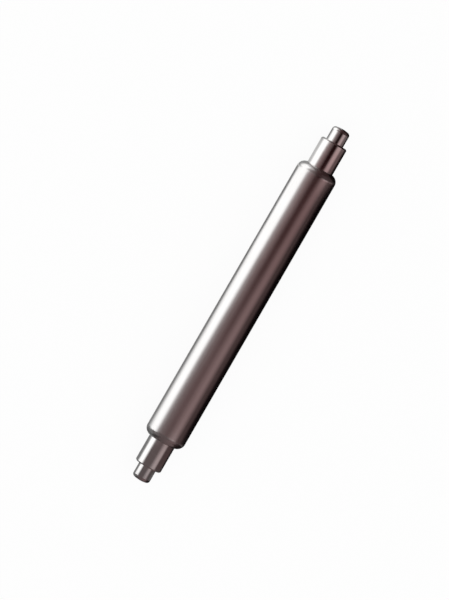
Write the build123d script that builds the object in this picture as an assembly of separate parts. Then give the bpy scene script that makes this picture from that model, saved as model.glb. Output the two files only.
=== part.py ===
from build123d import *
import math
import os

# Fat spring bar for a 22 mm strap gap: the sprung pin that holds a watch strap between the two lugs of a case.
# It lies along X with its middle at the origin, in millimetres, and is round about X apart from its spring.
# The barrel is a drawn tube whose ends are rolled in over the heads of two turned plungers.
# One coil spring inside the barrel holds the plungers apart, and either can be pushed in against it.

# Barrel
barrel_diameter = 2.5
barrel_wall = 0.28
barrel_length = 18.3  # over both rolled-in ends
lip_bend_radius = 0.22  # inside radius of the rolled-in end
lip_reach = 0.115  # how far the rolled-in end reaches inwards past the bore, which is what holds the head

# Plunger, from the pivot tip inwards
tip_diameter = 1.10
tip_reach = 0.93  # pivot tip, from the collar's face to the top of its crown
tip_crown_radius = 1.8  # shallow dome on the tip's end
tip_edge = 0.20  # rounding between the dome and the tip's side
plunger_travel = 1.55  # how far a plunger can be pushed in
collar_proud = 0.12  # what is left of the collar outside the barrel after the full travel
collar_edge = 0.07  # chamfer round the collar's face
head_length = 0.80
head_edge = 0.06  # chamfer at the back of the head
spigot_length = 1.30  # tail that keeps the spring on centre
spigot_edge = 0.12

# Spring
wire_diameter = 0.28
spring_turns = 22
ground_depth = 0.08  # how much of the end coils is ground away to seat flat on the heads

# Clearances, all radial apart from the head's, which is also kept from the rolled-in end
running_clearance = 0.03  # collar in the mouth of the barrel, head in its bore
spring_clearance = 0.08  # coil in the bore
spigot_clearance = 0.11  # spigot in the coil

# Worked out from the sizes above
barrel_radius = barrel_diameter / 2
bore_radius = barrel_radius - barrel_wall
roll_radius = lip_bend_radius + barrel_wall  # outside radius of the rolled-in end
mouth_radius = bore_radius - lip_reach
collar_radius = mouth_radius - running_clearance
collar_reach = plunger_travel + collar_proud
head_radius = bore_radius - running_clearance
tip_radius = tip_diameter / 2
wire_radius = wire_diameter / 2
coil_radius = bore_radius - spring_clearance - wire_radius  # to the middle of the wire
spigot_radius = coil_radius - wire_radius - spigot_clearance
barrel_end = barrel_length / 2
bore_end = barrel_end - barrel_wall
head_front = bore_end - running_clearance
head_back = head_front - head_length
collar_face = barrel_end + collar_reach
tip_end = collar_face + tip_reach


def rod(radius, start, end):
    """A round bar about the X axis, from x = start to x = end."""
    return Pos(X=(start + end) / 2) * Rot(Y=90) * Cylinder(radius, end - start)


def rims(shape):
    """The edges that run all the way round a turned shape, from the lowest x to the highest."""
    return shape.edges().filter_by(lambda edge: edge.is_closed).sort_by(Axis.X)


def rolled_in_rod(radius, end, corner):
    """A round bar from -end to end, whose two rims are rounded as the rolled-in ends are."""
    bar = rod(radius, -end, end)
    return fillet([rims(bar)[0], rims(bar)[-1]], corner)


def make_barrel():
    """The tube, necked at both ends to a mouth that the collars pass through and the heads don't."""
    outside = rolled_in_rod(barrel_radius, barrel_end, roll_radius)
    bore = rolled_in_rod(bore_radius, bore_end, lip_bend_radius)
    return outside - bore - rod(mouth_radius, -barrel_end, barrel_end)


def make_tip():
    """The pivot that goes into the lug's hole: a short pin with a domed end and a rounded edge."""
    dome = Pos(X=tip_end - tip_crown_radius) * Rot(Y=90) * Sphere(tip_crown_radius)
    pin = rod(tip_radius, collar_face, tip_end) & dome
    return fillet(rims(pin)[-1], tip_edge)


def make_collar():
    """The shoulder behind the tip, which slides through the barrel's mouth and meets the lug's inner face."""
    step = (collar_radius - tip_radius) / 2
    collar = rod(collar_radius, head_front, collar_face)
    return chamfer(rims(collar)[-1], min(collar_edge, step))


def make_head():
    """The wide end that the rolled-in lip holds captive, shaped to the inside of the lip."""
    head = rod(head_radius, head_back, head_front)
    head = fillet(rims(head)[-1], lip_bend_radius - running_clearance)
    return chamfer(rims(head)[0], head_edge)


def make_spigot():
    """The tail inside the spring's first coils."""
    spigot = rod(spigot_radius, head_back - spigot_length, head_back)
    return chamfer(rims(spigot)[0], spigot_edge)


def make_plunger():
    """The plunger at +X, turned from one bar: tip, collar, head and spigot."""
    return make_tip() + make_collar() + make_head() + make_spigot()


def wire_place(turns):
    """Where the middle of the wire is after so many turns, and the way in which it runs there."""
    angle = turns * 2 * math.pi
    place = Vector(
        wire_start + turns * pitch,
        coil_radius * math.cos(angle),
        coil_radius * math.sin(angle),
    )
    way = Vector(
        pitch / (2 * math.pi),
        -coil_radius * math.sin(angle),
        coil_radius * math.cos(angle),
    )
    return place, way.normalized()


def biarc(start, start_way, end, end_way):
    """Two arcs that leave start along start_way, reach end along end_way and share a tangent where they meet."""
    span = end - start
    ways = start_way + end_way
    lead = span.dot(ways)
    spread = 4 - ways.dot(ways)
    reach = (math.sqrt(lead**2 + spread * span.dot(span)) - lead) / spread
    before = start + start_way * reach
    after = end - end_way * reach
    middle = (before + after) / 2
    return [
        TangentArc(start, middle, tangent=start_way),
        TangentArc(middle, end, tangent=after - before),
    ]


def coil_arcs():
    """The middle of the wire as arcs of about a quarter turn, two to each half turn."""
    places = [wire_place(half / 2) for half in range(2 * spring_turns + 1)]
    arcs = []
    for (start, start_way), (end, end_way) in zip(places, places[1:]):
        arcs += biarc(start, start_way, end, end_way)
    return arcs


def make_spring(arcs):
    """One open coil of wire, with both end coils ground flat against the heads."""
    start, start_way = wire_place(0)
    wire = sweep(Plane(start, z_dir=start_way) * Circle(wire_radius), path=Wire(arcs))
    return wire & rod(bore_radius, -head_back, head_back)


def least_coil_gap(arcs):
    """The smallest gap that the coil leaves to itself, measured between points half a turn or more apart."""
    steps_in_arc = 12
    half_turn = 2 * steps_in_arc
    points = [tuple(arc @ (step / steps_in_arc)) for arc in arcs for step in range(steps_in_arc)]
    least = min(
        math.dist(here, there)
        for index, here in enumerate(points)
        for there in points[index + half_turn :]
    )
    return least - wire_diameter


# The wire's middle starts just inside each head's face, because the end coils are ground
wire_start = -head_back + wire_radius - ground_depth
pitch = -2 * wire_start / spring_turns
wire_arcs = coil_arcs()

plunger_right = make_plunger()
nodes = {
    "barrel_tube": make_barrel(),
    "plunger_right": plunger_right,
    "plunger_left": Rot(Z=180) * plunger_right,
    "coil_spring": make_spring(wire_arcs),
}

os.makedirs("parts", exist_ok=True)
for name, shape in nodes.items():
    export_step(shape, f"parts/{name}.step")

print(f"overall length {2 * tip_end:.2f}, over the collars {2 * collar_face:.2f}")
print(f"collar diameter {2 * collar_radius:.2f}, bore {2 * bore_radius:.2f}")
print(f"coil diameter {2 * (coil_radius + wire_radius):.2f}, pitch {pitch:.3f}")
print(f"coil length sprung out {2 * head_back:.2f}, both plungers in {2 * (head_back - plunger_travel):.2f}")
print(f"coil length with its turns touching {spring_turns * wire_diameter:.2f}")
print(f"least gap of the coil to itself {least_coil_gap(wire_arcs):.3f}")
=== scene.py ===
# %% [markdown]
# # A fat spring bar in polished steel
#
# A spring bar is the small sprung pin that holds a watch strap between the two lugs of a case.
# The frame already holds its four pieces at their real size: a tube, two plungers and a hidden coil spring.
# Here each piece gets a finer surface and a finish, and then the bar gets a pale floor, light and a camera.
# The tube and the plungers are round work, so each of them is one outline spun round the X axis.

# %% Load the frame
import math

import bmesh
import bpy
from mathutils import Matrix, Vector


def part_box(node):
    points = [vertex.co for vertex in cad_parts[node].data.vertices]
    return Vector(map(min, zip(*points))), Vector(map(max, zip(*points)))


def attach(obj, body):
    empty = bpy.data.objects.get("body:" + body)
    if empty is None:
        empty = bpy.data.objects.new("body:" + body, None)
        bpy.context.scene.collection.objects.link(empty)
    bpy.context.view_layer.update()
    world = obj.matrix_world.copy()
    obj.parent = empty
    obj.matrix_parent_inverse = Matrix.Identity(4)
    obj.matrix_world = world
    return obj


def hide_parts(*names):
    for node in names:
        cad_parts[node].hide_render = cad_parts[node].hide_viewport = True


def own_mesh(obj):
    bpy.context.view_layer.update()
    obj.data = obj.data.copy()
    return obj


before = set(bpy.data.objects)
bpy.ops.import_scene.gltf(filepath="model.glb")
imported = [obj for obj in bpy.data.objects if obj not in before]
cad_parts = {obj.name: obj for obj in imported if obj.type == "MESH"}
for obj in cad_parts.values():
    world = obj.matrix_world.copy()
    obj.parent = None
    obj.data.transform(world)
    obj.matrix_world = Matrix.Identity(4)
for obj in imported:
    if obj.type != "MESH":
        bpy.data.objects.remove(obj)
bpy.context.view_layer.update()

print("nodes:", sorted(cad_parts))

# %% [markdown]
# ## Sizes
#
# The outer sizes are read from the frame, so that the finer surfaces can't drift away from the construction.
# A box gives a node's corners and nothing inside them, so each piece names its other sizes where it is made.
# Blender works in metres, so sizes in millimetres are multiplied by MM.

# %% Read the outer sizes
MM = 0.001

barrel_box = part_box("barrel_tube")
plunger_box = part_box("plunger_right")

barrel_radius = barrel_box[1].z
barrel_end = barrel_box[1].x
tip_end = plunger_box[1].x
head_radius = plunger_box[1].z
spigot_end = plunger_box[0].x
floor_z = barrel_box[0].z
print(f"barrel {2 * barrel_radius / MM:.2f} mm across, bar {2 * tip_end / MM:.2f} mm from tip to tip")

# %% [markdown]
# ## Outlines
#
# A lathe outline is a list of (x, radius) points.
# Real edges are never perfectly sharp: a tiny rounding is what catches a line of light along them.
# A bevel modifier rounds edges too, but here each edge has its own rounding, written beside its corner.
# So one helper takes corners with a rounding for each and returns the points of a smooth outline.
# It also puts a point just before and just after each rounding, so that shading stays flat on the flat parts.

# %% Points on an arc, and corners with roundings
ROUNDING_STEPS = 8
SUPPORT = 0.012 * MM
OUTWARDS = 90  # degrees from the X axis


def arc(centre_x, centre_r, radius, start, end, steps):
    """Points on an arc in the (x, radius) plane, its angles in degrees from the X axis."""
    angles = [math.radians(start + (end - start) * step / steps) for step in range(steps + 1)]
    return [(centre_x + radius * math.cos(a), centre_r + radius * math.sin(a)) for a in angles]


def rounded(corners):
    """Turn (x, radius, rounding) corners into points, with a smooth bend in place of each corner.

    A bend leaves and joins its two sides where an arc with that rounding as its radius would.
    """
    points = [Vector(corners[0][:2])]
    for before, corner, after in zip(corners, corners[1:], corners[2:]):
        here = Vector(corner[:2])
        back = (Vector(before[:2]) - here).normalized()
        ahead = (Vector(after[:2]) - here).normalized()
        turn = math.pi - back.angle(ahead)
        reach = corner[2] * math.tan(turn / 2)
        start, end = here + back * reach, here + ahead * reach
        points.append(start + back * SUPPORT)
        for step in range(ROUNDING_STEPS + 1):
            share = step / ROUNDING_STEPS
            on_start, on_end = start.lerp(here, share), here.lerp(end, share)
            points.append(on_start.lerp(on_end, share))
        points.append(end + ahead * SUPPORT)
    points.append(Vector(corners[-1][:2]))
    return [tuple(point) for point in points]


# %% [markdown]
# ## Putting things into the scene
#
# Blender keeps the data of a mesh, a lamp or a camera apart from the object that places it in the scene.
# Everything below needs both, so two short helpers make them.

# %% Helpers for mesh data and objects


def mesh_data(name, mesh):
    """Turn geometry that is being edited into mesh data."""
    data = bpy.data.meshes.new(name)
    mesh.to_mesh(data)
    mesh.free()
    return data


def add_object(name, data):
    """Place a mesh, a lamp or a camera in the scene."""
    added = bpy.data.objects.new(name, data)
    bpy.context.scene.collection.objects.link(added)
    return added


# %% [markdown]
# ## Spinning an outline
#
# A plain cylinder primitive has no lips, roundings or crown, so the outline is spun in mesh code instead.
# A point on the axis becomes one vertex, and every other point a ring.
# Quads join neighbouring rings, and triangles join a ring to a single vertex.
# STEPS_ROUND is so high that the flats can't be seen, even in the reflection of a straight edge.

# %% Spin an outline into a mesh
STEPS_ROUND = 160
SHARP_FROM = math.radians(50)
ON_AXIS = 1e-6 * MM


def spin(name, outline, closed=False):
    """Spin (x, radius) points round the X axis. A closed outline also joins its last point to its first."""
    mesh = bmesh.new()
    rings = []
    for x, radius in outline:
        around = 1 if radius < ON_AXIS else STEPS_ROUND
        turns = [2 * math.pi * step / STEPS_ROUND for step in range(around)]
        rings.append([mesh.verts.new((x, radius * math.cos(a), radius * math.sin(a))) for a in turns])
    pairs = list(zip(rings, rings[1:] + rings[:1]))
    for low, high in pairs if closed else pairs[:-1]:
        for step in range(STEPS_ROUND):
            following = (step + 1) % STEPS_ROUND
            corners = [low[step % len(low)], low[following % len(low)]]
            corners += [high[following % len(high)], high[step % len(high)]]
            mesh.faces.new(dict.fromkeys(corners))
    bmesh.ops.recalc_face_normals(mesh, faces=mesh.faces)
    data = mesh_data(name, mesh)
    data.shade_smooth()
    data.set_sharp_from_angle(angle=SHARP_FROM)
    print(f"{name}: {len(data.vertices)} vertices, {len(data.polygons)} faces")
    return add_object(name, data)


# %% [markdown]
# ## The barrel
#
# The barrel is a drawn tube whose ends are rolled in until their lips hold the plungers captive.
# Seen from outside, that is a straight side, a round shoulder and a small mouth round the collar.
# A cylinder with a bevel would give the shoulder, but not the lip that bends inwards.
# So the outline follows the wall of the tube, outside and inside, and the gap round a collar is real.
# One half of it is drawn and mirrored, so both ends are the same.

# %% Name the barrel's sizes
barrel_wall = 0.28 * MM
lip_bend = 0.22 * MM
lip_break = 0.02 * MM
collar_radius = 0.825 * MM
running_clearance = 0.03 * MM

bore_radius = barrel_radius - barrel_wall
mouth_radius = collar_radius + running_clearance
roll_radius = lip_bend + barrel_wall
roll_centre_r = bore_radius - lip_bend
mouth_rise = mouth_radius - roll_centre_r
roll_centre_x = barrel_end - math.sqrt(roll_radius**2 - mouth_rise**2)
print(f"barrel ends at {barrel_end / MM:.3f} mm, its roll is centred at {roll_centre_x / MM:.3f} mm")

# %% Make the barrel
ROLL_STEPS = 26


def barrel_half():
    """The outline of the barrel's +X half, from the middle of its outside to the middle of its bore."""
    mouth_on_outside = math.degrees(math.asin(mouth_rise / roll_radius))
    mouth_on_inside = math.degrees(math.asin(mouth_rise / lip_bend))
    outside = arc(roll_centre_x, roll_centre_r, roll_radius, OUTWARDS, mouth_on_outside, ROLL_STEPS)[:-1]
    inside = arc(roll_centre_x, roll_centre_r, lip_bend, mouth_on_inside, OUTWARDS, ROLL_STEPS)
    mouth_inner_x = inside[0][0]
    lip = rounded([
        outside[-1] + (0,),
        (barrel_end, mouth_radius, lip_break),
        (mouth_inner_x, mouth_radius, 0),
    ])
    straight = [(0, barrel_radius), (roll_centre_x - SUPPORT, barrel_radius)]
    bore = [(roll_centre_x - SUPPORT, bore_radius), (0, bore_radius)]
    return straight + outside[:-1] + lip[:-1] + inside + bore


half = barrel_half()
mirrored = [(-x, radius) for x, radius in reversed(half)]
barrel = spin("barrel", half[:-1] + mirrored[:-1], closed=True)
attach(barrel, "barrel")
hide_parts("barrel_tube")

# %% [markdown]
# ## The plungers
#
# Each plunger is turned from one bar: the tip that enters the lug, the collar, the captive head and a spigot.
# Four cylinders would do for its steps, but one outline gives each step its own edge and no faces inside.
# The tip's end is a shallow crown, and its edge rounding has to touch both the crown and the tip's side.
# Its centre therefore lies one rounding inside both, which crown_angle and edge_centre work out.
# The left plunger is the same outline with x turned round.

# %% Name the plungers' sizes
tip_radius = 0.55 * MM
tip_reach = 0.93 * MM
tip_crown = 1.8 * MM
tip_edge = 0.20 * MM
tip_root_rounding = 0.025 * MM
collar_edge = 0.07 * MM
head_length = 0.80 * MM
head_edge = 0.06 * MM
spigot_radius = 0.50 * MM
spigot_edge = 0.12 * MM
fine_rounding = 0.015 * MM

head_front = roll_centre_x + lip_bend - running_clearance
head_back = head_front - head_length
collar_face = tip_end - tip_reach
print(f"head from {head_back / MM:.3f} to {head_front / MM:.3f} mm, collar face at {collar_face / MM:.3f} mm")

# %% Make the plungers
CROWN_STEPS = 10


def plunger_outline():
    """The outline of the plunger at +X, from the end of its spigot to the top of the tip's crown."""
    crown_angle = math.asin((tip_radius - tip_edge) / (tip_crown - tip_edge))
    crown_centre = tip_end - tip_crown
    edge_centre = crown_centre + (tip_crown - tip_edge) * math.cos(crown_angle)
    body = rounded([
        (spigot_end, 0, 0),
        (spigot_end, spigot_radius, spigot_edge),
        (head_back, spigot_radius, fine_rounding),
        (head_back, head_radius, head_edge),
        (head_front, head_radius, lip_bend - running_clearance),
        (head_front, collar_radius, fine_rounding),
        (collar_face - collar_edge, collar_radius, fine_rounding),
        (collar_face, collar_radius - collar_edge, fine_rounding),
        (collar_face, tip_radius, tip_root_rounding),
        (edge_centre - SUPPORT, tip_radius, 0),
    ])
    degrees = math.degrees(crown_angle)
    edge = arc(edge_centre, tip_radius - tip_edge, tip_edge, OUTWARDS, degrees, ROUNDING_STEPS)
    crown = arc(crown_centre, 0, tip_crown, degrees, 0, CROWN_STEPS)
    return body + edge + crown[1:-1] + [(tip_end, 0)]


outline = plunger_outline()
plungers = {
    "right": spin("right_plunger", outline),
    "left": spin("left_plunger", [(-x, radius) for x, radius in outline]),
}
for side, plunger in plungers.items():
    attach(plunger, f"plunger_{side}")
    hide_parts(f"plunger_{side}")

# %% [markdown]
# ## The coil spring
#
# The spring is sealed in the barrel, so no view shows it, but it has to follow the motion.
# When a plunger goes in, the coil between it and the middle gets shorter.
# A piece can be squashed by one joint only, so the coil is made as two halves that meet in the middle.
# A curve with a round bevel would also make a coil, but its ends wouldn't be ground flat, as a spring's are.
# So each half is a round section carried along a helix in mesh code, where its end can be cut level.

# %% Name the coil's sizes
wire_radius = 0.14 * MM
coil_radius = 0.75 * MM
ground_depth = 0.08 * MM
coil_turns = 22

wire_start = head_back - wire_radius + ground_depth
pitch = 2 * wire_start / coil_turns

# %% Make the two halves of the coil
STEPS_IN_TURN = 48
SECTION_STEPS = 14


def coil_half(name, side):
    """Half of the coil, from the middle of the bar to the head on that side, which is 1 or -1 along X."""
    mesh = bmesh.new()
    rings = []
    steps = coil_turns * STEPS_IN_TURN // 2
    for step in range(steps + 1):
        turns = side * step / STEPS_IN_TURN
        angle = turns * 2 * math.pi
        outward = Vector((0, math.cos(angle), math.sin(angle)))
        along = Vector((pitch / (2 * math.pi), -coil_radius * math.sin(angle), coil_radius * math.cos(angle)))
        across = along.normalized().cross(outward)
        middle = Vector((turns * pitch, 0, 0)) + outward * coil_radius
        ring = []
        for corner in range(SECTION_STEPS):
            around = 2 * math.pi * corner / SECTION_STEPS
            place = middle + (outward * math.cos(around) + across * math.sin(around)) * wire_radius
            place.x = max(-head_back, min(head_back, place.x))
            ring.append(mesh.verts.new(place))
        rings.append(ring)
    for low, high in zip(rings, rings[1:]):
        for corner in range(SECTION_STEPS):
            following = (corner + 1) % SECTION_STEPS
            mesh.faces.new((low[corner], low[following], high[following], high[corner]))
    mesh.faces.new(rings[0])
    mesh.faces.new(rings[-1])
    bmesh.ops.recalc_face_normals(mesh, faces=mesh.faces)
    data = mesh_data(name, mesh)
    data.shade_smooth()
    print(f"{name}: {coil_turns / 2:g} turns, {len(data.polygons)} faces")
    return add_object(name, data)


coils = {"right": coil_half("coil_right_half", 1), "left": coil_half("coil_left_half", -1)}
for side, coil in coils.items():
    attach(coil, "spring")
    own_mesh(coil)
    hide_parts("coil_spring")

# %% [markdown]
# ## Building materials from nodes
#
# Every finish here is steel, and what tells one from another is how bright it is and how its fine lines run.
# A node tree can be drawn in Blender's editor, but written as steps it can be read and changed line by line.
# So a few short helpers add nodes, set their values and link them, and start every tree empty.

# %% Helpers for shader nodes


def node(tree, kind, inputs=None, **settings):
    """Add a shader node. An input may be a value or another node's output."""
    made = tree.nodes.new(kind)
    for name, value in settings.items():
        setattr(made, name, value)
    for socket, value in (inputs or {}).items():
        if isinstance(value, bpy.types.NodeSocket):
            tree.links.new(value, made.inputs[socket])
        else:
            made.inputs[socket].default_value = value
    return made


def math_node(tree, operation, first, second):
    """The output of one calculation. Either side may be a number or another node's output."""
    return node(tree, "ShaderNodeMath", {0: first, 1: second}, operation=operation).outputs[0]


def mixed(tree, factor, low, high):
    """Mix two colours by a factor. Each of the three may be a value or another node's output."""
    inputs = {"Factor": factor, "A": low, "B": high}
    return node(tree, "ShaderNodeMix", inputs, data_type="RGBA").outputs["Result"]


def empty_tree(owner):
    """The node tree of a material or a world, with nothing in it."""
    owner.use_nodes = True
    owner.node_tree.nodes.clear()
    return owner.node_tree


def start_metal(name):
    """A material, its tree, and the metal shader that is wired to its output."""
    material = bpy.data.materials.new(name)
    tree = empty_tree(material)
    metal = node(tree, "ShaderNodeBsdfPrincipled", {"Metallic": 1.0})
    node(tree, "ShaderNodeOutputMaterial", {"Surface": metal.outputs["BSDF"]})
    return material, tree, metal


# %% [markdown]
# ## Lines and smudges
#
# No metal is even: burnishing and turning leave fine lines on it, and handling leaves broad smudges.
# The shader's anisotropy would blur reflections across such lines, but it would draw none of them.
# So the lines are noise squeezed across their own direction. They shape the bump, and together with
# the smudges they vary the roughness and the colour.

# %% Steel with lines and smudges
NOISE_LOW, NOISE_HIGH = 0.3, 0.7
LINE_DETAIL = 3.0
SMUDGE_DETAIL = 4.0


def stretched_noise(tree, feature, detail):
    """Noise whose features have the given size along X, Y and Z, in metres."""
    place = node(tree, "ShaderNodeTexCoord").outputs["Object"]
    scale = [1 / size for size in feature]
    stretched = node(tree, "ShaderNodeMapping", {"Vector": place, "Scale": scale}).outputs["Vector"]
    made = node(tree, "ShaderNodeTexNoise", {"Vector": stretched, "Scale": 1.0, "Detail": detail})
    return made.outputs["Fac"]


def between(tree, noise, low, high):
    """Map noise to a range: its usual spread fills the range, and what lies outside is held at the ends."""
    inputs = {"Value": noise, "From Min": NOISE_LOW, "From Max": NOISE_HIGH, "To Min": low, "To Max": high}
    return node(tree, "ShaderNodeMapRange", inputs).outputs["Result"]


def lined_steel(name, line_size, line_depth, smudge_size, roughness, tones):
    """Steel with fine lines and broad smudges. Roughness and tones go from the least of them to the most."""
    material, tree, metal = start_metal(name)
    lines = stretched_noise(tree, line_size, LINE_DETAIL)
    smudges = stretched_noise(tree, smudge_size, SMUDGE_DETAIL)
    wear = math_node(tree, "DIVIDE", math_node(tree, "ADD", lines, smudges), 2)
    bump = node(tree, "ShaderNodeBump", {"Height": lines, "Strength": 1.0, "Distance": line_depth})
    tree.links.new(bump.outputs["Normal"], metal.inputs["Normal"])
    tree.links.new(between(tree, wear, *roughness), metal.inputs["Roughness"])
    tree.links.new(mixed(tree, between(tree, wear, 0, 1), *tones), metal.inputs["Base Color"])
    print(f"{name}: {len(tree.nodes)} nodes, roughness from {roughness[0]} to {roughness[1]}")
    return material


# %% [markdown]
# ## The barrel's finish
#
# The barrel is drawn and then burnished along its length, which leaves a soft satin over a bright polish.
# Its reflections are a little blurred, and the blur is uneven, because of its long lines and its smudges.
# The lines are under a micrometre deep, so they show close up, where light and dark meet,
# and vanish from further away.

# %% Satin-polished barrel steel
barrel_finish = lined_steel(
    "barrel_steel_satin",
    line_size=(9 * MM, 0.05 * MM, 0.05 * MM),
    line_depth=0.0008 * MM,
    smudge_size=(1.8 * MM, 0.9 * MM, 0.9 * MM),
    roughness=(0.17, 0.28),
    tones=((0.82, 0.805, 0.795, 1), (0.92, 0.91, 0.905, 1)),
)
barrel.data.materials.append(barrel_finish)

# %% [markdown]
# ## The plungers' finish
#
# The plungers are turned and then polished bright, so they mirror their surroundings more sharply.
# What is left of the turning is a set of very fine rings round the axis, which is noise squeezed along X.
# The same helper makes them, with other sizes.

# %% Turned and polished plunger steel
plunger_finish = lined_steel(
    "plunger_steel_turned",
    line_size=(0.03 * MM, 3 * MM, 3 * MM),
    line_depth=0.0006 * MM,
    smudge_size=(0.5 * MM, 0.5 * MM, 0.5 * MM),
    roughness=(0.09, 0.18),
    tones=((0.83, 0.815, 0.805, 1), (0.93, 0.92, 0.915, 1)),
)
for plunger in plungers.values():
    plunger.data.materials.append(plunger_finish)

# %% [markdown]
# ## The wire's finish
#
# Spring wire is drawn through a die and not polished afterwards, so it is duller than the other pieces.
# It is sealed in the barrel, so an uneven dullness is enough, and lines in a bump would be work for nothing.

# %% Drawn spring wire
dull_patch = 0.2 * MM
wire_roughness = (0.30, 0.45)
wire_tones = ((0.50, 0.49, 0.47, 1), (0.66, 0.65, 0.63, 1))


def spring_wire():
    """Drawn wire with dull and bright patches."""
    material, tree, metal = start_metal("spring_wire_drawn")
    dulling = stretched_noise(tree, (dull_patch, dull_patch, dull_patch), SMUDGE_DETAIL)
    tree.links.new(between(tree, dulling, *wire_roughness), metal.inputs["Roughness"])
    tree.links.new(mixed(tree, dulling, *wire_tones), metal.inputs["Base Color"])
    print(f"{material.name}: roughness from {wire_roughness[0]} to {wire_roughness[1]}")
    return material


wire_finish = spring_wire()
for coil in coils.values():
    coil.data.materials.append(wire_finish)

# %% [markdown]
# ## The floor
#
# The bar lies on a plain white floor that runs into a white world, so there is no horizon to see.
# Light alone could make it white, but too little would leave it grey and too much would hide the shadow.
# So the floor mixes its own white into what is seen of it, and the rest of it is an ordinary matt surface,
# on which the bar still drops a faint soft shadow.
# The bar's own reflections don't see this floor: the light tent gives them a white side of their own,
# and a grey band painted on the tent stands in for the bar's shadow on the floor.

# %% Tell a look from a light
WHITE = (1, 1, 1, 1)


def looked_at(tree):
    """1 for a ray that looks, from the camera, a mirror or glass, and 0 for one that gathers light."""
    rays = node(tree, "ShaderNodeLightPath").outputs
    mirrored = math_node(tree, "MAXIMUM", rays["Is Glossy Ray"], rays["Is Transmission Ray"])
    return math_node(tree, "MAXIMUM", rays["Is Camera Ray"], mirrored)


# %% Lay the floor
floor_reach = 3.0
floor_white_share = 0.92
floor_tone = (0.92, 0.92, 0.92, 1)


def floor_white():
    """A matt surface with a share of pure white in what is seen of it."""
    material = bpy.data.materials.new("floor_white")
    tree = empty_tree(material)
    share = math_node(tree, "MULTIPLY", looked_at(tree), floor_white_share)
    matt = node(tree, "ShaderNodeBsdfDiffuse", {"Color": floor_tone})
    white = node(tree, "ShaderNodeEmission", {"Color": WHITE, "Strength": 1.0})
    surface = node(tree, "ShaderNodeMixShader", {0: share, 1: matt.outputs[0], 2: white.outputs[0]})
    node(tree, "ShaderNodeOutputMaterial", {"Surface": surface.outputs[0]})
    return material


def lay_floor():
    """One large square that touches the underside of the barrel."""
    ways = ((-1, -1), (1, -1), (1, 1), (-1, 1))
    corners = [(floor_reach * x, floor_reach * y, floor_z) for x, y in ways]
    data = bpy.data.meshes.new("floor")
    data.from_pydata(corners, [], [range(len(corners))])
    data.materials.append(floor_white())
    floor = add_object("floor", data)
    floor.visible_glossy = False
    print(f"floor {2 * floor_reach:g} m wide at {floor_z / MM:.2f} mm")


lay_floor()

# %% [markdown]
# ## The world
#
# The world is what a ray meets when it misses everything else, and an even one is the softest light there is.
# A sky or a picture of a room would give light too, but with a tint, and the floor has to stay white.
# It is pure white where it is looked at, so it runs on from the floor, and a little dimmer as a light.

# %% Light the world
world_light = 0.8


def pale_world():
    """A world that looks white and gives an even light."""
    world = bpy.data.worlds.new("pale_world")
    bpy.context.scene.world = world
    tree = empty_tree(world)
    inputs = {"Value": looked_at(tree), "To Min": world_light, "To Max": 1.0}
    strength = node(tree, "ShaderNodeMapRange", inputs).outputs["Result"]
    pale = node(tree, "ShaderNodeBackground", {"Color": WHITE, "Strength": strength})
    node(tree, "ShaderNodeOutputWorld", {"Surface": pale.outputs[0]})
    print(f"{world.name}: light {world_light}")


pale_world()

# %% [markdown]
# ## The light tent
#
# Polished metal has no colour of its own worth speaking of: it shows what stands round it.
# In a white room the bar would vanish into the floor, and lamps alone would only give it small hard glints.
# So photographers put metal in a tent of cards, and this tent is a tube round the bar, closed at both ends.
# It is white on one side, brown overhead with one paler strip, and black on the other side.
# Its grey folds beside the white card are painted shade: they stand in for the floor in the bar's own shadow,
# which reflections can't see, because the floor is hidden from them.
# Only reflections can see it. It is turned to face the main view's camera, and stays there for other views.
#
# On a round bar, a card that stands at an angle from the camera shows at the sine of half that angle.
# So each card below says from where to where it shows across the bar, whose edges are at -1 and 1.
# Then come its level, where 1 is white, and its warmth, the share of green and blue that it lacks.
# The tone changes evenly across the gap from one card to the next, as it does on a curved sheet of paper.

# %% Size and turn the tent
tent_radius = 15 * MM
tent_half_length = 27 * MM
camera_elevation = math.radians(60)

# %% Cards that the bar's left half mirrors
far_left_cards = [
    (-1.00, -0.98, 0.20, 0.00),  # grey fold: painted reflection of the bar's shadow on the floor
    (-0.96, -0.92, 0.09, 0.00),  # darker gap beside it
    (-0.88, -0.76, 0.17, 0.00),  # shaded paper: the white card ends at the bar's left shoulder
    (-0.66, -0.40, 0.14, 0.10),  # the same, a little browner
    (-0.25, 0.15, 0.105, 0.25),  # brown wall
    (0.38, 0.60, 0.145, 0.32),  # pale strip
    (0.68, 0.76, 0.035, 0.40),  # brown wall behind the strip
    (0.82, 1.00, 0.010, 0.30),  # black card
]
left_tip_cards = [
    (-1.00, -0.82, 0.21, 0.00),  # grey fold: painted reflection of the bar's shadow on the floor
    (-0.73, -0.505, 1.20, 0.00),  # white card
    (-0.38, 0.05, 0.095, 0.13),  # wall
    (0.29, 0.41, 0.37, 0.10),  # strip
    (0.54, 0.70, 0.085, 0.12),  # wall
    (0.84, 1.00, 0.13, 0.05),  # grey card
]
left_end_cards = [
    (-1.00, -0.81, 0.20, 0.00),  # wider grey fold: painted reflection of the bar's floor shadow
    (-0.70, -0.51, 1.20, 0.00),  # white card
    (-0.37, 0.12, 0.110, 0.22),  # brown wall
    (0.335, 0.455, 0.38, 0.20),  # pale strip, brighter here than beside the barrel
    (0.555, 0.83, 0.070, 0.35),  # brown wall
    (0.91, 1.00, 0.02, 0.20),  # black card
]
left_cards = [
    (-1.00, -0.99, 0.90, 0.00),  # light from under the bar
    (-0.98, -0.90, 0.21, 0.00),  # grey fold: painted reflection of the bar's floor shadow
    (-0.735, -0.52, 1.20, 0.00),  # white card
    (-0.39, -0.35, 0.28, 0.12),  # paper that runs from it into the brown
    (-0.24, -0.20, 0.17, 0.25),  # the same, browner
    (-0.02, 0.10, 0.120, 0.37),  # brown wall
    (0.34, 0.43, 0.225, 0.33),  # pale strip
    (0.60, 0.71, 0.060, 0.36),  # brown wall behind the strip
    (0.80, 0.98, 0.003, 0.30),  # black card
    (0.99, 1.00, 0.60, 0.00),  # light from under the bar
]

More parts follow.
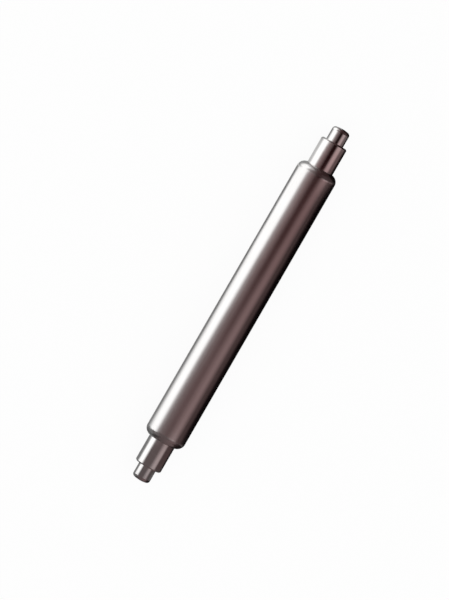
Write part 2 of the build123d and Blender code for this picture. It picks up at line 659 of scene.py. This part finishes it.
# %% Cards that the bar's right half mirrors
right_cards = [
    (-1.00, -0.99, 0.90, 0.00),  # light from under the bar
    (-0.98, -0.90, 0.17, 0.00),  # grey fold: painted reflection of the bar's shadow on the floor
    (-0.835, -0.465, 1.20, 0.00),  # white card
    (-0.37, -0.35, 0.36, 0.14),  # paper that runs into the brown
    (-0.22, -0.16, 0.19, 0.32),  # the same, browner
    (0.02, 0.13, 0.034, 0.68),  # dark gap before the strip
    (0.32, 0.45, 0.176, 0.41),  # pale strip
    (0.60, 0.69, 0.050, 0.36),  # brown wall
    (0.79, 0.98, 0.002, 0.30),  # black card
    (0.99, 1.00, 0.60, 0.00),  # light from under the bar
]
right_end_cards = [
    (-1.00, -0.83, 0.58, 0.00),  # light grey fold: painted reflection of the bar's floor shadow
    (-0.73, -0.46, 1.20, 0.00),  # white card
    (-0.34, -0.32, 0.34, 0.18),  # paper that runs into the brown
    (-0.20, -0.18, 0.20, 0.33),  # the same, browner
    (0.06, 0.24, 0.014, 0.75),  # dark gap
    (0.385, 0.53, 0.41, 0.33),  # pale strip, brighter here too
    (0.65, 0.77, 0.12, 0.36),  # brown wall
    (0.87, 1.00, 0.01, 0.30),  # black card
]
right_tip_cards = [
    (-1.00, -0.87, 0.22, 0.00),  # grey fold: painted reflection of the bar's shadow on the floor
    (-0.69, -0.40, 1.20, 0.00),  # white card
    (-0.29, -0.27, 0.42, 0.08),  # paper that runs into the brown
    (-0.19, -0.16, 0.20, 0.22),  # the same, browner
    (0.09, 0.24, 0.010, 0.60),  # dark gap
    (0.41, 0.55, 0.45, 0.22),  # strip
    (0.66, 0.78, 0.15, 0.22),  # brown wall
    (0.89, 1.00, 0.03, 0.15),  # black card
]
far_right_cards = [
    (-1.00, -0.92, 0.30, 0.00),  # grey fold: painted reflection of the bar's shadow on the floor
    (-0.80, -0.55, 1.20, 0.00),  # white card
    (-0.41, -0.37, 0.33, 0.10),  # paper that runs into the brown
    (-0.24, -0.18, 0.15, 0.25),  # the same, browner
    (0.00, 0.25, 0.038, 0.50),  # brown wall
    (0.40, 0.55, 0.060, 0.35),  # the strip, which fades out here
    (0.68, 0.79, 0.044, 0.35),  # brown wall
    (0.87, 1.00, 0.003, 0.30),  # black card
]

# %% Cards on the two end panels
left_panel_cards = [
    (-1.00, -0.50, 0.045, 0.10),  # dark wall
    (-0.30, 0.10, 0.100, 0.25),  # brown wall
    (0.40, 1.00, 0.130, 0.30),  # paler brown wall
]
right_panel_cards = [
    (-1.00, -0.80, 0.75, 0.00),  # light paper
    (-0.62, -0.56, 0.50, 0.05),  # the same, getting darker towards the brown
    (-0.44, -0.38, 0.26, 0.12),  # darker
    (-0.28, -0.22, 0.10, 0.20),  # darker still
    (-0.08, 0.00, 0.06, 0.45),  # brown wall
    (0.30, 1.00, 0.033, 0.50),  # dark brown wall
]

# %% [markdown]
# Along the bar, each set of cards gives way to the next between two places, which are in millimetres.
# The end and tip sets are only as long as a collar or a tip needs.
# The barrel's round shoulders see past them, to the far sets and the end panels.

# %% Say where each set begins
set_changes = [
    (-13.6, -13.2, left_tip_cards),
    (-12.6, -12.4, left_end_cards),
    (-10.7, -10.1, left_cards),
    (-6.6, 7.9, right_cards),
    (8.3, 8.8, right_end_cards),
    (10.4, 10.6, right_tip_cards),
    (11.3, 12.8, far_right_cards),
]
print(f"{len(set_changes) + 1} sets of cards along the tent")

# %% [markdown]
# ## Painting the tent
#
# Each set of cards is a colour ramp that runs once round the tube, starting and ending behind the bar.
# Separate cards would need one object each, and a ramp also gives the even change of tone between two cards.
# The angle comes from the arctangent of a place on the tube, turned so that zero is the camera's side.
# The end panels are flat, so their ramps run straight across them, from the white side to the black one.

# %% Find a place on a ramp
RAMP_MIDDLE = 0.5


def round_the_tube(share):
    """Where a share across the bar lies on a ramp that runs once round the tube."""
    return RAMP_MIDDLE + math.asin(share) / math.pi


def across_the_panel(share):
    """Where a share lies on a ramp that runs straight across an end panel."""
    return RAMP_MIDDLE + share / 2


def onto_ramp(tree, value, span):
    """Put a value that spreads over a span on a ramp, with zero at the ramp's middle."""
    return math_node(tree, "ADD", math_node(tree, "DIVIDE", value, span), RAMP_MIDDLE)


# %% Turn cards into a colour ramp


def card_tone(level, warmth):
    """A card's colour, which lacks more green and blue the warmer it is."""
    cool = level * (1 - warmth)
    return (level, cool, cool, 1)


def card_ramp(tree, factor, cards, position=round_the_tube):
    """A colour ramp with a stop at either side of each card."""
    tones = [(place, *tone) for low, high, *tone in cards for place in (low, high)]
    ramp = node(tree, "ShaderNodeValToRGB", {"Fac": factor})
    stops = ramp.color_ramp.elements
    while len(stops) < len(tones):
        stops.new(RAMP_MIDDLE)
    for stop, (place, level, warmth) in zip(stops, tones):
        stop.position = position(place)
        stop.color = card_tone(level, warmth)
    return ramp.outputs["Color"]


# %% Paint the tube and the end panels


def start_tent_material(name):
    """A material, its tree, and a place on the tent: X along the bar, Y to the camera, Z to the right."""
    material = bpy.data.materials.new(name)
    tree = empty_tree(material)
    place = node(tree, "ShaderNodeTexCoord").outputs["Object"]
    turned = node(tree, "ShaderNodeMapping", {"Vector": place, "Rotation": (-camera_elevation, 0, 0)})
    parts = node(tree, "ShaderNodeSeparateXYZ", {"Vector": turned.outputs["Vector"]}).outputs
    return material, tree, parts


def glow(tree, colour):
    """Finish a material that shines in one colour."""
    shine = node(tree, "ShaderNodeEmission", {"Color": colour, "Strength": 1.0})
    node(tree, "ShaderNodeOutputMaterial", {"Surface": shine.outputs[0]})


def how_far(tree, value, start, end):
    """How far a value has come from start to end, eased at both ends and held outside them."""
    inputs = {"Value": value, "From Min": start, "From Max": end}
    return node(tree, "ShaderNodeMapRange", inputs, interpolation_type="SMOOTHSTEP").outputs["Result"]


def tube_material():
    """All the sets of cards, one after the other along the tube."""
    material, tree, parts = start_tent_material("tent_cards")
    turn = onto_ramp(tree, math_node(tree, "ARCTAN2", parts["Z"], parts["Y"]), 2 * math.pi)
    shown = card_ramp(tree, turn, far_left_cards)
    for start, end, cards in set_changes:
        change = how_far(tree, parts["X"], start * MM, end * MM)
        shown = mixed(tree, change, shown, card_ramp(tree, turn, cards))
    glow(tree, shown)
    return material


def panel_material(name, cards):
    """One set of cards, straight across an end panel."""
    material, tree, parts = start_tent_material(name)
    across = onto_ramp(tree, parts["Z"], 2 * tent_radius)
    glow(tree, card_ramp(tree, across, cards, across_the_panel))
    return material


# %% Pitch the tent
TENT_STEPS = 96


def pitch_tent():
    """A closed tube round the bar that only reflections see."""
    turns = [2 * math.pi * step / TENT_STEPS for step in range(TENT_STEPS)]
    round_hoop = [(tent_radius * math.cos(turn), tent_radius * math.sin(turn)) for turn in turns]
    mesh = bmesh.new()
    hoops = []
    for x in (-tent_half_length, tent_half_length):
        hoops.append([mesh.verts.new((x, y, z)) for y, z in round_hoop])
    for step in range(TENT_STEPS):
        following = (step + 1) % TENT_STEPS
        mesh.faces.new((hoops[0][step], hoops[0][following], hoops[1][following], hoops[1][step]))
    for material_index, hoop in enumerate(hoops, start=1):
        mesh.faces.new(hoop).material_index = material_index
    data = mesh_data("light_tent", mesh)
    data.materials.append(tube_material())
    data.materials.append(panel_material("tent_left_panel", left_panel_cards))
    data.materials.append(panel_material("tent_right_panel", right_panel_cards))
    tent = add_object("light_tent", data)
    tent.visible_camera = False
    tent.visible_diffuse = False
    tent.visible_shadow = False
    tent.visible_transmission = False
    print(f"tent {2 * tent_half_length / MM:.0f} mm long and {2 * tent_radius / MM:.0f} mm across")


pitch_tent()

# %% [markdown]
# ## The lamp
#
# The world's even light leaves almost no shadow, and the tent gives the floor no light at all.
# A point lamp would be simpler, but its shadow would have a hard edge.
# So one large square lamp hangs on the camera's side, and the bar's faint soft shadow falls away from it.

# %% Hang the lamp
lamp_place = Vector((-0.10, 0.30, 0.35))
lamp_size = 0.4
lamp_radiance = 0.9


def hang_lamp():
    """A square area lamp aimed at the bar. Its energy is pi times its area times its radiance."""
    lamp = bpy.data.lights.new("near_softbox", "AREA")
    lamp.shape = "SQUARE"
    lamp.size = lamp_size
    lamp.energy = lamp_radiance * math.pi * lamp_size**2
    holder = add_object("near_softbox", lamp)
    holder.location = lamp_place
    holder.rotation_euler = (-lamp_place).to_track_quat("-Z", "Y").to_euler()
    holder.visible_camera = False
    holder.visible_glossy = False
    print(f"lamp of {lamp.energy:.2f} W, {lamp_place.length:.2f} m from the bar")


hang_lamp()

# %% [markdown]
# ## The camera
#
# The photograph was taken with a long lens: the bar shows almost no perspective.
# The picture gives the bar's place, its lean and its width in pixels.
# The curve of the barrel's lower mouth shows that its upper end tips a little towards the camera.
# The upper mouth is straighter than the lower one, and that difference gives the camera's distance.
# A place in pixels is counted from the middle of the first pixel, and the frame begins half_px before that.
# A camera can also be moved by hand until it fits, but numbers can be put right one at a time.

# %% Name what the picture shows
frame_px = (449, 600)
bar_centre_px = (240.4, 304.6)
half_px = 0.5
barrel_width_px = 43.2
lean = math.radians(30.01)

# %% Place the camera
tip_towards_camera = math.radians(3.6)
camera_distance = 230 * MM
nearest_seen = 5.75 * MM


def place_camera():
    """Point the camera so that the bar lies in the frame where the picture has it."""
    size_of_px = 2 * barrel_radius / barrel_width_px
    back = Vector((
        math.sin(tip_towards_camera),
        math.cos(tip_towards_camera) * math.cos(camera_elevation),
        math.cos(tip_towards_camera) * math.sin(camera_elevation),
    ))
    along = (Vector((1, 0, 0)) - back * back.x).normalized()
    beside = along.cross(back)
    right = along * math.sin(lean) + beside * math.cos(lean)
    up = along * math.cos(lean) - beside * math.sin(lean)
    off_right = (bar_centre_px[0] + half_px - frame_px[0] / 2) * size_of_px
    off_down = (bar_centre_px[1] + half_px - frame_px[1] / 2) * size_of_px
    aim = up * off_down - right * off_right
    camera = add_object("camera", bpy.data.cameras.new("camera"))
    turn = Matrix((right, up, back)).transposed().to_4x4()
    camera.matrix_world = Matrix.Translation(aim + back * camera_distance) @ turn
    camera.data.lens = camera.data.sensor_width * camera_distance / (frame_px[1] * size_of_px)
    camera.data.clip_start = nearest_seen
    bpy.context.scene.camera = camera
    print(f"lens {camera.data.lens:.0f} mm at {camera_distance / MM:.0f} mm")
    print(f"one pixel is {size_of_px / MM:.4f} mm")


place_camera()

# %% [markdown]
# ## Finish
#
# The view transform is plain, so that the colours show as they are written.

# %% Finish
bpy.context.scene.view_settings.view_transform = "Standard"
